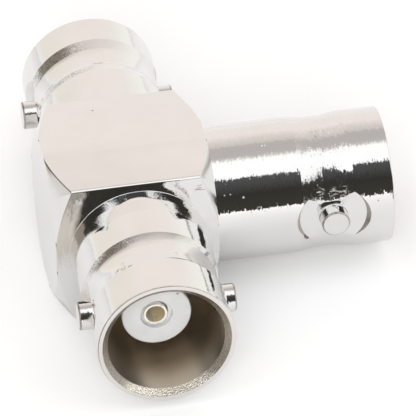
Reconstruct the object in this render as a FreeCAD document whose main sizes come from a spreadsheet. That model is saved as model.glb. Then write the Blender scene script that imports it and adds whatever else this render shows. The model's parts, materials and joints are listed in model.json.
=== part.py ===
import FreeCAD, Part
import Sketcher
import math
import operator
import os
from FreeCAD import Placement, Rotation, Vector
from types import SimpleNamespace

# Coaxial T adapter: a square bar with a jack turned on its right end, two more jacks pressed
# into its front and rear flats, insulators, centre contacts and bayonet lugs.
# Frame: +Z up, +X out of the stem jack, the front jack looks to -Y. The origin lies on the
# bottom flat, under the point where the three jack axes cross.

DRIVING_SIZES = [
    ("bar_side", 11.07, "square bar, across flats"),
    ("bar_left", 5.86, "crossing of the axes to the bar's left end"),
    ("bar_right", 5.69, "crossing of the axes to the bar's right end"),
    ("edge_bevel", 0.13, "bevel on the bar's four long edges"),
    ("end_disc_radius", 5.63, "flat disc left by the turned end chamfers"),
    ("end_slope", 1.73, "radius that an end chamfer gains per millimetre of length"),
    ("through_reach", 16.8, "crossing to the front and rear mouths"),
    ("stem_reach", 18.43, "crossing to the stem's mouth"),
    ("shell_radius", 4.83, "outside of a jack shell"),
    ("bore_radius", 4.08, "inside of a jack shell"),
    ("bore_depth", 8.4, "mouth to the bottom of the ring-shaped hollow"),
    ("mouth_round", 0.08, "rounding of the mouth's outer edge"),
    ("rim_width", 0.33, "flat rim at the mouth, with its rounding"),
    ("waist_near", 3.05, "mouth to the near edge of the waist"),
    ("waist_far", 6.35, "mouth to the far edge of the waist"),
    ("waist_depth", 0.2, "how deep the waist is turned"),
    ("foot_radius", 4.95, "ring at the foot of a pressed-in shell"),
    ("foot_height", 0.1, "height of that ring"),
    ("spigot_radius", 3.9, "part of a shell inside the bar"),
    ("spigot_length", 2.1, "how deep a shell goes into the bar"),
    ("web_thickness", 0.8, "wall in a shell that holds its insulator"),
    ("seat_gap", 0.02, "radial gap of every pressed or seated fit"),
    ("lug_setback", 4.35, "mouth to the middle of the lugs"),
    ("lug_radius", 1.0, "bayonet lug"),
    ("lug_span", 11.0, "over the tips of two lugs"),
    ("lug_tip_chamfer", 0.1, "chamfer on a lug's tip"),
    ("lug_foot_fillet", 0.1, "fillet at a lug's foot"),
    ("shank_radius", 0.75, "part of a lug inside the shell's wall"),
    ("spot_depth", 0.38, "depth of the spot face round a lug"),
    ("spot_floor_radius", 2.4, "flat floor of the spot face"),
    ("spot_rim_radius", 2.65, "spot face at the outside of the shell"),
    ("nose_radius", 2.43, "insulator inside the jack's hollow"),
    ("nose_setback", 3.3, "mouth to the insulator's face"),
    ("nose_round", 0.12, "rounding of the insulator's face"),
    ("flange_radius", 3.1, "insulator behind the web"),
    ("stem_core_radius", 2.6, "stem insulator where it is pressed into the bar"),
    ("stem_seat", 4.0, "crossing to the seat of the stem insulator"),
    ("tip_hole_radius", 1.12, "hole in the insulator's face"),
    ("tip_hole_depth", 2.4, "depth of that hole"),
    ("contact_radius", 1.0, "centre contact"),
    ("tip_radius", 0.83, "slotted end of a centre contact"),
    ("tip_taper", 0.4, "length of the taper down to the slotted end"),
    ("tip_setback", 0.06, "insulator's face to the contact's end"),
    ("tip_chamfer", 0.05, "lead-in at the contact's end"),
    ("socket_radius", 0.66, "hole in a centre contact"),
    ("socket_depth", 5.5, "depth of that hole"),
    ("socket_cone", 0.35, "drill point at the bottom of the hole"),
    ("slot_width", 0.2, "slot across a contact's end"),
    ("slot_length", 3.6, "length of that slot"),
    ("slot_angle", 55, "turn of the slots about the contact, in degrees"),
    ("collar_radius", 1.5, "collar that the insulators hold"),
    ("collar_length", 2.0, "length of the through contact's collar"),
    ("stem_collar_length", 0.7, "length of the stem contact's collar"),
    ("tail_radius", 0.43, "tail pin of the stem contact"),
    ("tail_overlap", 1.3, "crossing to the tail pin's end, inside the through contact"),
    ("tail_hole_radius", 1.9, "passage from the stem's bore to the cross bore"),
]

# How far a cut runs past the metal that it removes
CUT_MARGIN = 0.5

OPERATIONS = {"+": operator.add, "-": operator.sub, "*": operator.mul, "/": operator.truediv}


class Size:
    """A length: its number, and the sheet formula that gives the same number."""

    def __init__(self, formula, number):
        self.formula = formula
        self.number = number

    def __add__(self, other):
        return combined(self, "+", other)

    def __sub__(self, other):
        return combined(self, "-", other)

    def __mul__(self, other):
        return combined(self, "*", other)

    def __truediv__(self, other):
        return combined(self, "/", other)

    def __neg__(self):
        return combined(ZERO, "-", self)


def combined(left, sign, right):
    """Joins two sizes, or a size and a plain number, by one of the four operations."""
    if not isinstance(right, Size):
        right = Size(str(right), right)
    formula = "(" + left.formula + " " + sign + " " + right.formula + ")"
    return Size(formula, OPERATIONS[sign](left.number, right.number))


ZERO = Size("0", 0.0)


# Document, sheet and sketches

def make_sheet(doc):
    """Writes the driving sizes into a spreadsheet and returns them as Size values."""
    sheet = doc.addObject("Spreadsheet::Sheet", "Sizes")
    sizes = SimpleNamespace()
    for row, (alias, number, meaning) in enumerate(DRIVING_SIZES, start=1):
        sheet.set("A%d" % row, meaning)
        sheet.set("B%d" % row, str(number))
        sheet.setAlias("B%d" % row, alias)
        setattr(sizes, alias, Size("Sizes." + alias, number))
    doc.recompute()
    return sizes


def new_body(doc, name):
    body = doc.addObject("PartDesign::Body", name)
    body.Label = name
    return body


def origin_feature(body, role):
    return next(item for item in body.Origin.OriginFeatures if item.Role == role)


def new_sketch(body, name, plane="XY_Plane"):
    sketch = body.newObject("Sketcher::SketchObject", name)
    sketch.AttachmentSupport = (origin_feature(body, plane), [""])
    sketch.MapMode = "FlatFace"
    return sketch


def bind(sketch, kind, *place, size):
    """Adds one dimension to a sketch and ties it to the sheet."""
    index = sketch.addConstraint(Sketcher.Constraint(kind, *place, size.number))
    sketch.setExpression("Constraints[%d]" % index, size.formula)


def pin_down(sketch, piece, end, across, up):
    """Fixes a point of the outline by its distances from the sketch's origin."""
    for kind, size, axis in (("DistanceX", across, -2), ("DistanceY", up, -1)):
        if size is ZERO:
            sketch.addConstraint(Sketcher.Constraint("PointOnObject", piece, end, axis))
        else:
            bind(sketch, kind, -1, 1, piece, end, size=size)


def arc_between(start, finish, radius, centre_away):
    """An arc of the radius; its centre is on the side away from the axis, or towards it."""
    middle = (start + finish) / 2
    chord = finish - start
    square = Vector(-chord.y, chord.x, 0).normalize()
    if (square.y > 0) != centre_away:
        square = -square
    rise = math.sqrt(max(radius ** 2 - (chord.Length / 2) ** 2, 0))
    centre = middle + square * rise
    return Part.Arc(start, centre - square * radius, finish)


def draw_outline(sketch, corners):
    """Draws a closed outline. A corner is (across, up), or (across, up, radius, centre_away)
    where an arc leads to the next corner."""
    points = [Vector(corner[0].number, corner[1].number, 0) for corner in corners]
    ends = []
    for index, corner in enumerate(corners):
        start = points[index]
        finish = points[(index + 1) % len(points)]
        if len(corner) == 2:
            piece = sketch.addGeometry(Part.LineSegment(start, finish), False)
        else:
            arc = arc_between(start, finish, corner[2].number, corner[3])
            piece = sketch.addGeometry(arc, False)
            bind(sketch, "Radius", piece, size=corner[2])
        first, last = (1, 2) if sketch.getPoint(piece, 1).distanceToPoint(start) < 1e-6 else (2, 1)
        ends.append((piece, first, last))
    for index, (piece, first, last) in enumerate(ends):
        next_piece, next_first, _ = ends[(index + 1) % len(ends)]
        sketch.addConstraint(Sketcher.Constraint("Coincident", piece, last, next_piece, next_first))
        pin_down(sketch, piece, first, corners[index][0], corners[index][1])


def turned(body, name, corners, cut=False, about="H_Axis"):
    """Turns an outline about one of its sketch's axes, as metal or as a cut."""
    sketch = new_sketch(body, name + "_outline")
    draw_outline(sketch, corners)
    return turn(body, name, sketch, cut, about)


def turn(body, name, sketch, cut, about):
    feature = body.newObject("PartDesign::Groove" if cut else "PartDesign::Revolution", name)
    feature.Profile = sketch
    feature.ReferenceAxis = (sketch, [about])
    feature.Angle = 360
    return feature


def mirrored(body, name, originals, plane):
    feature = body.newObject("PartDesign::Mirrored", name)
    feature.Originals = originals
    feature.MirrorPlane = (origin_feature(body, plane), [""])
    body.Tip = feature
    return feature


def pocket(body, name, sketch):
    """Cuts a sketch right through, both ways from its plane."""
    feature = body.newObject("PartDesign::Pocket", name)
    feature.Profile = sketch
    feature.Type = "ThroughAll"
    feature.SideType = "Symmetric"
    return feature


def place(body, degrees, x=ZERO, y=ZERO):
    """Turns a piece about +Z and lifts its axis to the crossing's height."""
    body.Placement = Placement(Vector(x.number, y.number, height.number),
                               Rotation(Vector(0, 0, 1), degrees))
    for letter, size in (("x", x), ("y", y), ("z", height)):
        if size is not ZERO:
            body.setExpression("Placement.Base." + letter, size.formula)


doc = FreeCAD.newDocument("coaxial_tee")
s = make_sheet(doc)

# Places along a jack's axis, measured from the crossing, that several pieces share

height = s.bar_side / 2
flat = s.bar_side / 2
rim_inside = s.shell_radius - s.rim_width
lead_in = rim_inside - s.bore_radius
waist_length = s.waist_far - s.waist_near
waist_arc = (waist_length * waist_length / 4 + s.waist_depth * s.waist_depth) / (s.waist_depth * 2)
spot_plane = s.shell_radius - s.spot_depth
collar_end = s.collar_length / 2
flange_bore = s.flange_radius + s.seat_gap
contact_hole = s.contact_radius + s.seat_gap
spigot_end = flat - s.spigot_length


def shell_outside(reach):
    """The outside of a jack from its foot to its mouth, the same on all three."""
    return [
        (reach - s.waist_far, s.shell_radius, waist_arc, True),
        (reach - s.waist_near, s.shell_radius),
        (reach - s.mouth_round, s.shell_radius, s.mouth_round, False),
        (reach, s.shell_radius - s.mouth_round),
    ]


def shell_inside(reach):
    """The inside of a jack from its mouth down to the bottom of its hollow."""
    return [
        (reach, rim_inside),
        (reach - lead_in, s.bore_radius),
        (reach - s.bore_depth, s.bore_radius),
    ]


def cut_lug_seats(body, reach):
    """A spot face and a hole for a lug, on both sides of a jack."""
    middle = reach - s.lug_setback
    inner = s.bore_radius - CUT_MARGIN
    outer = s.shell_radius + CUT_MARGIN
    flare = (s.spot_rim_radius - s.spot_floor_radius) * (outer - spot_plane) / s.spot_depth
    hole = s.shank_radius + s.seat_gap
    sketch = new_sketch(body, "lug_seat_outline")
    draw_outline(sketch, [
        (middle, inner),
        (middle + hole, inner),
        (middle + hole, spot_plane),
        (middle + s.spot_floor_radius, spot_plane),
        (middle + s.spot_floor_radius + flare, outer),
        (middle, outer),
    ])
    axis_ends = (Vector(middle.number, inner.number, 0), Vector(middle.number, outer.number, 0))
    axis = sketch.addGeometry(Part.LineSegment(*axis_ends), True)
    pin_down(sketch, axis, 1, middle, inner)
    pin_down(sketch, axis, 2, middle, outer)
    seat = turn(body, "lug_seat", sketch, True, "Axis0")
    pair = body.newObject("PartDesign::PolarPattern", "lug_seats")
    pair.Originals = [seat]
    pair.Axis = (origin_feature(body, "X_Axis"), [""])
    pair.Angle = 360
    pair.Occurrences = 2
    body.Tip = pair


# Bar and stem shell, one piece of metal

def chamfer_bar_end(body, name, end, inward):
    """Turns a bar's end down to a disc; inward is the sign of the way into the bar."""
    corner_reach = s.bar_side * 0.75
    length = (corner_reach - s.end_disc_radius) / s.end_slope
    shoulder = end + length if inward > 0 else end - length
    turned(body, name, [
        (end, s.end_disc_radius),
        (end, corner_reach),
        (shoulder, corner_reach),
    ], cut=True)


def make_tee_body():
    body = new_body(doc, "tee_body")
    section = new_sketch(body, "bar_section", "YZ_Plane")
    half = s.bar_side.number / 2
    corners = [Vector(-half, -half, 0), Vector(half, -half, 0), Vector(half, half, 0), Vector(-half, half, 0)]
    for index in range(4):
        section.addGeometry(Part.LineSegment(corners[index], corners[(index + 1) % 4]), False)
        section.addConstraint(Sketcher.Constraint("Horizontal" if index % 2 == 0 else "Vertical", index))
    for index in range(4):
        section.addConstraint(Sketcher.Constraint("Coincident", index, 2, (index + 1) % 4, 1))
    section.addConstraint(Sketcher.Constraint("Symmetric", 0, 1, 2, 1, -1, 1))
    bind(section, "DistanceX", 0, 1, 0, 2, size=s.bar_side)
    bind(section, "DistanceY", 1, 1, 1, 2, size=s.bar_side)
    bar = body.newObject("PartDesign::Pad", "bar")
    bar.Profile = section
    bar.SideType = "Two sides"
    bar.setExpression("Length", s.bar_right.formula)
    bar.setExpression("Length2", s.bar_left.formula)
    doc.recompute()
    long_edges = ["Edge%d" % (index + 1) for index, edge in enumerate(bar.Shape.Edges)
                  if abs(edge.tangentAt(edge.FirstParameter).x) > 0.99]
    bevel = body.newObject("PartDesign::Chamfer", "edge_bevels")
    bevel.Base = (bar, long_edges)
    bevel.setExpression("Size", s.edge_bevel.formula)
    chamfer_bar_end(body, "right_end", s.bar_right, -1)
    chamfer_bar_end(body, "left_end", -s.bar_left, 1)
    reach = s.stem_reach
    turned(body, "stem_barrel", [
        (ZERO, ZERO),
        (ZERO, s.shell_radius),
        *shell_outside(reach),
        (reach, ZERO),
    ])
    mouth_side = flat + CUT_MARGIN
    cross = turned(body, "cross_bore", [
        (ZERO, ZERO),
        (flange_bore, ZERO),
        (flange_bore, spigot_end),
        (s.spigot_radius + s.seat_gap, spigot_end),
        (s.spigot_radius + s.seat_gap, mouth_side),
        (ZERO, mouth_side),
    ], cut=True, about="V_Axis")
    mirrored(body, "cross_bore_both_ways", [cross], "XZ_Plane")
    core_bore = s.stem_core_radius + s.seat_gap
    turned(body, "stem_bore", [
        (ZERO, ZERO),
        (reach, ZERO),
        *shell_inside(reach),
        (reach - s.bore_depth, core_bore),
        (s.stem_seat, core_bore),
        (s.stem_seat, s.tail_hole_radius),
        (ZERO, s.tail_hole_radius),
    ], cut=True)
    cut_lug_seats(body, reach)
    place(body, 0)


# Pressed-in shells

def make_shell(name, degrees):
    body = new_body(doc, name)
    reach = s.through_reach
    web = reach - s.bore_depth - s.web_thickness
    nose_hole = s.nose_radius + s.seat_gap
    turned(body, "shell", [
        (spigot_end, flange_bore),
        (spigot_end, s.spigot_radius),
        (flat, s.spigot_radius),
        (flat, s.foot_radius),
        (flat + s.foot_height, s.foot_radius),
        (flat + s.foot_height, s.shell_radius),
        *shell_outside(reach),
        *shell_inside(reach),
        (reach - s.bore_depth, nose_hole),
        (web, nose_hole),
        (web, flange_bore),
    ])
    cut_lug_seats(body, reach)
    place(body, degrees)


# Bayonet lugs

def make_lug(name, degrees, x, y):
    body = new_body(doc, name)
    tip = s.lug_span / 2
    turned(body, "lug", [
        (s.bore_radius, ZERO),
        (s.bore_radius, s.shank_radius),
        (spot_plane, s.shank_radius),
        (spot_plane, s.lug_radius + s.lug_foot_fillet, s.lug_foot_fillet, True),
        (spot_plane + s.lug_foot_fillet, s.lug_radius),
        (tip - s.lug_tip_chamfer, s.lug_radius),
        (tip, s.lug_radius - s.lug_tip_chamfer),
        (tip, ZERO),
    ])
    place(body, degrees, x, y)


# Insulators

def nose_outline(reach, root):
    """The nose of an insulator, from where it leaves its thicker part to the contact's hole."""
    face = reach - s.nose_setback
    return [
        (root, s.nose_radius),
        (face - s.nose_round, s.nose_radius, s.nose_round, False),
        (face, s.nose_radius - s.nose_round),
        (face, s.tip_hole_radius),
        (face - s.tip_hole_depth, s.tip_hole_radius),
        (face - s.tip_hole_depth, contact_hole),
    ]


def make_insulator(name, degrees):
    body = new_body(doc, name)
    reach = s.through_reach
    web = reach - s.bore_depth - s.web_thickness
    turned(body, "insulator", [
        (collar_end, contact_hole),
        (collar_end, s.flange_radius),
        (web, s.flange_radius),
        *nose_outline(reach, web),
    ])
    place(body, degrees)


def make_stem_insulator():
    body = new_body(doc, "stem_insulator")
    reach = s.stem_reach
    root = reach - s.bore_depth
    turned(body, "insulator", [
        (s.stem_seat, contact_hole),
        (s.stem_seat, s.stem_core_radius),
        (root, s.stem_core_radius),
        *nose_outline(reach, root),
    ])
    place(body, 0)


# Centre contacts

def socket_outline(end):
    """A contact's slotted end and its hole, from the contact's full thickness to the axis."""
    neck = end + s.tip_setback - s.tip_hole_depth + s.seat_gap
    bottom = end - s.socket_depth
    return [
        (neck, s.contact_radius),
        (neck + s.tip_taper, s.tip_radius),
        (end - s.tip_chamfer, s.tip_radius),
        (end, s.tip_radius - s.tip_chamfer),
        (end, s.socket_radius + s.tip_chamfer),
        (end - s.tip_chamfer, s.socket_radius),
        (bottom, s.socket_radius),
        (bottom - s.socket_cone, ZERO),
    ]


def cut_slot(body, end):
    """A slot across a contact's end, which leaves two spring fingers."""
    sketch = new_sketch(body, "slot_outline")
    sketch.AttachmentOffset = Placement(Vector(), Rotation(Vector(1, 0, 0), s.slot_angle.number))
    sketch.setExpression("AttachmentOffset.Rotation.Angle", s.slot_angle.formula)
    start = end - s.slot_length
    finish = end + CUT_MARGIN
    half = s.slot_width / 2
    draw_outline(sketch, [(start, -half), (finish, -half), (finish, half), (start, half)])
    return pocket(body, "slot", sketch)


def make_through_contact():
    body = new_body(doc, "through_contact")
    end = s.through_reach - s.nose_setback - s.tip_setback
    half = turned(body, "half_contact", [
        (ZERO, ZERO),
        (ZERO, s.collar_radius),
        (collar_end, s.collar_radius),
        (collar_end, s.contact_radius),
        *socket_outline(end),
    ])
    slot = cut_slot(body, end)
    mirrored(body, "both_halves", [half, slot], "YZ_Plane")
    cross_hole = new_sketch(body, "tail_hole_outline", "XZ_Plane")
    hole = s.tail_radius + s.seat_gap
    cross_hole.addGeometry(Part.Circle(Vector(), Vector(0, 0, 1), hole.number), False)
    cross_hole.addConstraint(Sketcher.Constraint("Coincident", 0, 3, -1, 1))
    bind(cross_hole, "Radius", 0, size=hole)
    pocket(body, "tail_hole", cross_hole)
    place(body, -90)


def make_stem_contact():
    """Its outline starts at the tail pin's end, which lies behind the crossing."""
    body = new_body(doc, "stem_contact")
    tail = s.tail_overlap
    collar = tail + s.stem_seat - s.stem_collar_length
    end = tail + s.stem_reach - s.nose_setback - s.tip_setback
    turned(body, "contact", [
        (ZERO, ZERO),
        (ZERO, s.tail_radius),
        (collar, s.tail_radius),
        (collar, s.collar_radius),
        (collar + s.stem_collar_length, s.collar_radius),
        (collar + s.stem_collar_length, s.contact_radius),
        *socket_outline(end),
    ])
    cut_slot(body, end)
    place(body, 0, x=-tail)


def check_document():
    """Stops where a feature failed, a cut removed nothing or a piece isn't a valid solid."""
    for item in doc.Objects:
        if "Invalid" in item.State or "Error" in item.State:
            raise RuntimeError("failed: " + item.Label)
        if item.TypeId in ("PartDesign::Groove", "PartDesign::Pocket"):
            if item.Shape.Volume >= item.BaseFeature.Shape.Volume:
                raise RuntimeError("cuts nothing: " + item.Label)


def write_pieces():
    os.makedirs("parts", exist_ok=True)
    for body in doc.findObjects("PartDesign::Body"):
        shape = body.Shape
        if shape.isNull() or not shape.isValid() or len(shape.Solids) != 1:
            raise RuntimeError("not one valid solid: " + body.Label)
        shape.exportStep("parts/" + body.Label + ".step")
        print(body.Label, round(shape.Volume, 2))


make_tee_body()
make_shell("front_jack_shell", -90)
make_shell("rear_jack_shell", 90)
through_lug = s.through_reach - s.lug_setback
make_lug("front_jack_left_lug", 180, ZERO, -through_lug)
make_lug("front_jack_right_lug", 0, ZERO, -through_lug)
make_lug("rear_jack_left_lug", 180, ZERO, through_lug)
make_lug("rear_jack_right_lug", 0, ZERO, through_lug)
stem_lug = s.stem_reach - s.lug_setback
make_lug("stem_front_lug", -90, stem_lug, ZERO)
make_lug("stem_rear_lug", 90, stem_lug, ZERO)
make_insulator("front_insulator", -90)
make_insulator("rear_insulator", 90)
make_stem_insulator()
make_through_contact()
make_stem_contact()
doc.recompute()
check_document()
write_pieces()
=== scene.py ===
import json
import math
from collections import namedtuple

import bpy
from mathutils import Matrix, Vector


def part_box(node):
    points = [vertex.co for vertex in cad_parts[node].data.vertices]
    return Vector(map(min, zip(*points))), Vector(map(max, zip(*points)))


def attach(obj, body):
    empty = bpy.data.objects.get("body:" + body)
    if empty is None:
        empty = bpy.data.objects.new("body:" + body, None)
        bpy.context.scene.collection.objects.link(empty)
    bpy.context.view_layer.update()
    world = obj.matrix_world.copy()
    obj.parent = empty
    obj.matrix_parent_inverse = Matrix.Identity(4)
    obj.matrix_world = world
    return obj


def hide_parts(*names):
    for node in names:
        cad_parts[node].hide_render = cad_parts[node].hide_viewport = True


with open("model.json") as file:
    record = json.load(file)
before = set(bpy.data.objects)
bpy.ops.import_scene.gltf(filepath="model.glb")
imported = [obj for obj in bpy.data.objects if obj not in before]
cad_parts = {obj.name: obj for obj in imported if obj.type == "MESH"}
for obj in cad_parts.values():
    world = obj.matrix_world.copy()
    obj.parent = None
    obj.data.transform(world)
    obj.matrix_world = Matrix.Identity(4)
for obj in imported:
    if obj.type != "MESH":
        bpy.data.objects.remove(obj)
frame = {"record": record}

bl_info = {
    "name": "Coaxial tee",
    "version": (1, 0, 0),
    "blender": (4, 5, 0),
    "location": "View3D > Sidebar > Coaxial tee",
    "description": "Models and finishes the pieces of a coaxial T adapter round its packed frame",
    "category": "Add Mesh",
}

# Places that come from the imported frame, in metres. The axes of the three jacks cross at CROSSING.

MM = 0.001
PER_MM = (1 / MM,) * 3
QUARTER = math.pi / 2
MOUNTS = {mount["name"]: mount for mount in frame["record"]["mounts"]}
BODY_LOW, BODY_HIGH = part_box("tee_body")
SHELL_LOW, SHELL_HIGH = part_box("rear_jack_shell")
LUG_LOW, LUG_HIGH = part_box("front_jack_right_lug")
INSULATOR_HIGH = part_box("rear_insulator")[1]
STEM_INSULATOR_LOW, STEM_INSULATOR_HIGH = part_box("stem_insulator")
CONTACT_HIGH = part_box("through_contact")[1]
STEM_CONTACT_LOW, STEM_CONTACT_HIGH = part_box("stem_contact")

CROSSING = Vector((0, 0, (BODY_LOW.z + BODY_HIGH.z) / 2))
FLAT = (BODY_HIGH.z - BODY_LOW.z) / 2
THROUGH_REACH = SHELL_HIGH.y
STEM_REACH = BODY_HIGH.x
SHELL_RADIUS = MOUNTS["front_barrel"]["dims"]["r_mm"] * MM
FOOT_RADIUS = SHELL_HIGH.x
SPIGOT_END = SHELL_LOW.y
SOCKET_RADIUS = MOUNTS["front_contact_socket"]["dims"]["r_mm"] * MM
LUG_SETBACK = THROUGH_REACH - abs(MOUNTS["front_bayonet"]["pos_m"][1])
LUG_TIP = LUG_HIGH.x
BORE_RADIUS = LUG_LOW.x
FLANGE_RADIUS = INSULATOR_HIGH.x
NOSE_SETBACK = THROUGH_REACH - INSULATOR_HIGH.y
CORE_RADIUS = STEM_INSULATOR_HIGH.y
STEM_SEAT = STEM_INSULATOR_LOW.x
COLLAR_RADIUS = CONTACT_HIGH.x
TAIL_END = STEM_CONTACT_LOW.x

# Millimetres from the mouth to the waist's near edge, its deepest corner and its far edge. Each
# shell was turned by hand and eye, so they differ a little.

WAISTS = {"front": (3.3, 5.95, 6.47), "rear": (2.75, 5.85, 6.6), "stem": (2.75, 5.5, 6.5)}

# How far off centre the front ends of the front insulator and of the through contact sit

CORE_LEAN = Vector((-0.15, 0, 0.09)) * MM
CONTACT_LEAN = Vector((-0.23, 0, 0.1)) * MM

# How finely a round piece, a rounded corner and the hollow of a waist are made

FINE_STEPS = 288
SMALL_STEPS = 96
ARC_STEP = math.radians(14)
FEWEST_STEPS = 3
HOLLOW_STEPS = 16
FILLET_STEPS = 6
SMOOTH_ANGLE = math.radians(20)

# What counts as one point, as on one surface and as beside it

WELD = 0.2e-6
TOUCHING = WELD * 5
BESIDE = WELD * 50

# How far a cutter runs past metal, the gap round a seated piece, and a turned piece's small roundings

CUTTER_MARGIN = 0.5 * MM
SEAT_GAP = 0.02 * MM
LUG_TIP_ROUND = 0.03 * MM
CONTACT_TIP_ROUND = 0.03 * MM

# How much of a normal points along the bar on a turned end at least, and how much of an edge or a
# normal points one way to count as along it or as facing it

TURNED_TILT = 0.1
LENGTHWISE = 0.99
FACING = 0.999


def length(name, description, millimetres):
    return bpy.props.FloatProperty(name=name, description=description, default=millimetres * MM,
                                   min=0, precision=5, unit="LENGTH", subtype="DISTANCE")


def colour(name, description, value):
    return bpy.props.FloatVectorProperty(name=name, description=description, default=value,
                                         size=3, min=0, max=1, subtype="COLOR")


def number(name, description, value):
    return bpy.props.FloatProperty(name=name, description=description, default=value)


def angle(name, description, degrees):
    return bpy.props.FloatProperty(name=name, description=description, default=math.radians(degrees),
                                   unit="ROTATION", subtype="ANGLE")


class BarSizes(bpy.types.PropertyGroup):
    bevel: length("Bevel", "Bevel on the bar's four long edges, across the top and bottom", 0.112)
    bevel_drop: number("Bevel drop", "That bevel's depth on the front and back, as a share", 0.839)
    bevel_break: length("Bevel break", "Broken edge on either side of that bevel", 0.018)
    end_disc: length("End disc", "Radius of the flat disc on a turned end", 5.63)
    end_slope: number("End slope", "Radius that a turned end gains over its length", 1.73)
    right_end: length("Right end", "Crossing to the bar's right end", 5.69)
    edge_break: length("Edge break", "Broken edge between a flat and a turned end", 0.1)
    core_wall: length("Core wall", "Right end to the bottom of the drilled blank in the stem", 0.6)
    passage: length("Passage", "Radius of the hole from the crossing to the stem's insulator", 1.9)


class ShellSizes(bpy.types.PropertyGroup):
    rim: length("Rim", "Width of the flat rim at the mouth", 0.33)
    mouth_round: length("Mouth round", "Rounding of the mouth's outer edge", 0.08)
    rim_round: length("Rim round", "Rounding of the rim's inner edge", 0.03)
    lead_in: length("Lead-in", "Length of the bevel from the rim into the bore", 0.38)
    bore_depth: length("Bore depth", "Mouth to the bottom of the ring-shaped hollow", 8.4)
    web: length("Web", "Wall that holds the insulator", 0.8)
    spigot: length("Spigot", "Radius of the part that is pressed into the bar", 3.9)
    taper: length("Taper", "Length of the slight taper behind the waist's far edge", 0.5)
    taper_drop: length("Taper drop", "How far the shell goes in up to that edge", 0.02)
    shoulder_drop: length("Shoulder drop", "How far it goes in up to the waist's deepest corner", 0.175)
    waist_near_cone: length("Near cone", "Length of the cone at the waist's near edge", 1.0)
    waist_near_drop: length("Near drop", "How far that cone goes in", 0.15)
    waist_sag: length("Waist sag", "How far the waist is hollowed between its two cones", 0.04)
    waist_round: length("Waist round", "Rounding of the waist's edges", 0.04)
    foot_height: length("Foot height", "Height of the ring at the shell's foot", 0.07)
    foot_round: length("Foot round", "Rounding of that ring", 0.05)
    foot_finish: length("Foot finish", "How far the rougher finish reaches from the flat", 2.2)
    foot_spread: length("Foot spread", "How much wider the shell is at the flat than behind its waist", 0.1)
    foot_end_spread: length("Foot end spread", "How much wider it is where that finish ends", 0.04)
    foot_straight: length("Foot straight", "How far from the flat the shell keeps that width", 1.0)
    foot_blend: length("Foot blend", "Rounding where the foot starts to taper", 0.5)
    tool_step: length("Tool step", "Step that the tool left near the waist's deepest corner", 0.02)
    tool_step_place: length("Tool step place", "That corner to the step", 0.22)
    spot_depth: length("Spot depth", "Depth of the spot face round a lug", 0.38)
    spot_floor: length("Spot floor", "Radius of the spot face's floor", 2.4)
    spot_rim: length("Spot rim", "Radius of the spot face at the shell's outside", 2.65)


class LugSizes(bpy.types.PropertyGroup):
    radius: length("Radius", "Radius of a bayonet lug", 1.0)
    shank: length("Shank", "Radius of the part inside the shell's wall", 0.75)
    tip_chamfer: length("Tip chamfer", "Chamfer on a lug's tip", 0.1)
    foot_fillet: length("Foot fillet", "Fillet at a lug's foot", 0.1)


class InsulatorSizes(bpy.types.PropertyGroup):
    nose: length("Nose", "Radius of the insulator inside a jack's hollow", 2.43)
    nose_round: length("Nose round", "Rounding of the insulator's face", 0.12)
    hole: length("Hole", "Radius of the hole in the insulator's face", 1.12)
    hole_depth: length("Hole depth", "Depth of that hole", 0.4)
    hole_round: length("Hole round", "Rounding of that hole's edge", 0.05)
    collar_half: length("Collar half", "Half the length of the collar that it holds", 1.0)
    lip: length("Lip", "Length of the lip round the contact's slotted end", 0.5)
    lip_radius: length("Lip radius", "Radius inside that lip", 0.85)
    neck: length("Neck", "Radius of the hole round the contact", 1.02)


class ContactSizes(bpy.types.PropertyGroup):
    radius: length("Radius", "Radius of a centre contact", 1.0)
    tip: length("Tip", "Radius of the slotted end", 0.83)
    taper: length("Taper", "Length of the taper down to the slotted end", 0.2)
    tip_chamfer: length("Tip chamfer", "Lead-in at the contact's end", 0.05)
    tip_setback: length("Tip setback", "Insulator's face to the contact's end", 0.06)
    socket_depth: length("Socket depth", "Depth of the hole in the end", 5.5)
    socket_cone: length("Socket cone", "Drill point at the bottom of the hole", 0.35)
    slot_width: length("Slot width", "Width of the slot across the end", 0.05)
    slot_length: length("Slot length", "Length of that slot", 3.6)
    slot_depth: length("Slot depth", "How far the slot's cutter reaches across the end", 3)
    slot_turn: angle("Slot turn", "Turn of the slot about the contact", 55)
    collar: length("Collar", "Length of the through contact's collar", 2.0)
    stem_collar: length("Stem collar", "Length of the stem contact's collar", 0.7)
    tail: length("Tail", "Radius of the stem contact's tail pin", 0.43)


class FinishColours(bpy.types.PropertyGroup):
    nickel: colour("Nickel", "Bright nickel plate", (0.79, 0.785, 0.775))
    haze: colour("Haze", "Nickel plate where it is a little hazy", (0.77, 0.765, 0.75))
    mouth: colour("Mouth", "Thin plate just inside a jack's mouth", (0.86, 0.81, 0.74))
    # Brown plate deep inside a jack, whose darkness there is also painted shade
    bore: colour("Bore", "Browned plate deep inside a jack", (0.8, 0.67, 0.5))
    # Darker plate, used on a lug's tip chamfer, and as painted shade on the stem's spot walls and, dimmed
    # further, on the bar's broken left edge
    darkened_plate: colour("Worn", "Dull plate on cut edges", (0.45, 0.42, 0.38))
    plastic: colour("Insulator", "White insulator", (0.765, 0.775, 0.775))
    contact: colour("Contact", "Pale gold flash", (0.98, 0.94, 0.86))
    socket: colour("Socket", "Dull inside of a contact's socket", (0.93, 0.8, 0.55))


class StudioSettings(bpy.types.PropertyGroup):
    lens: bpy.props.FloatProperty(name="Lens", description="Focal length", default=482.5, unit="CAMERA")
    fill_azimuth: angle("Fill azimuth", "Turn of the fill light to the right", -12)
    fill_elevation: angle("Fill elevation", "Height of the fill light", 26)
    fill_distance: length("Fill distance", "Fill light's distance", 600)
    fill_size: length("Fill size", "Fill light's diameter", 400)
    fill_power: number("Fill power", "Fill light's power in watts", 2.3)


# Modelling helpers, which work as one would by hand

def deselect_all():
    bpy.ops.object.select_all(action="DESELECT")


def select_only(piece):
    deselect_all()
    piece.select_set(True)
    bpy.context.view_layer.objects.active = piece


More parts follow.
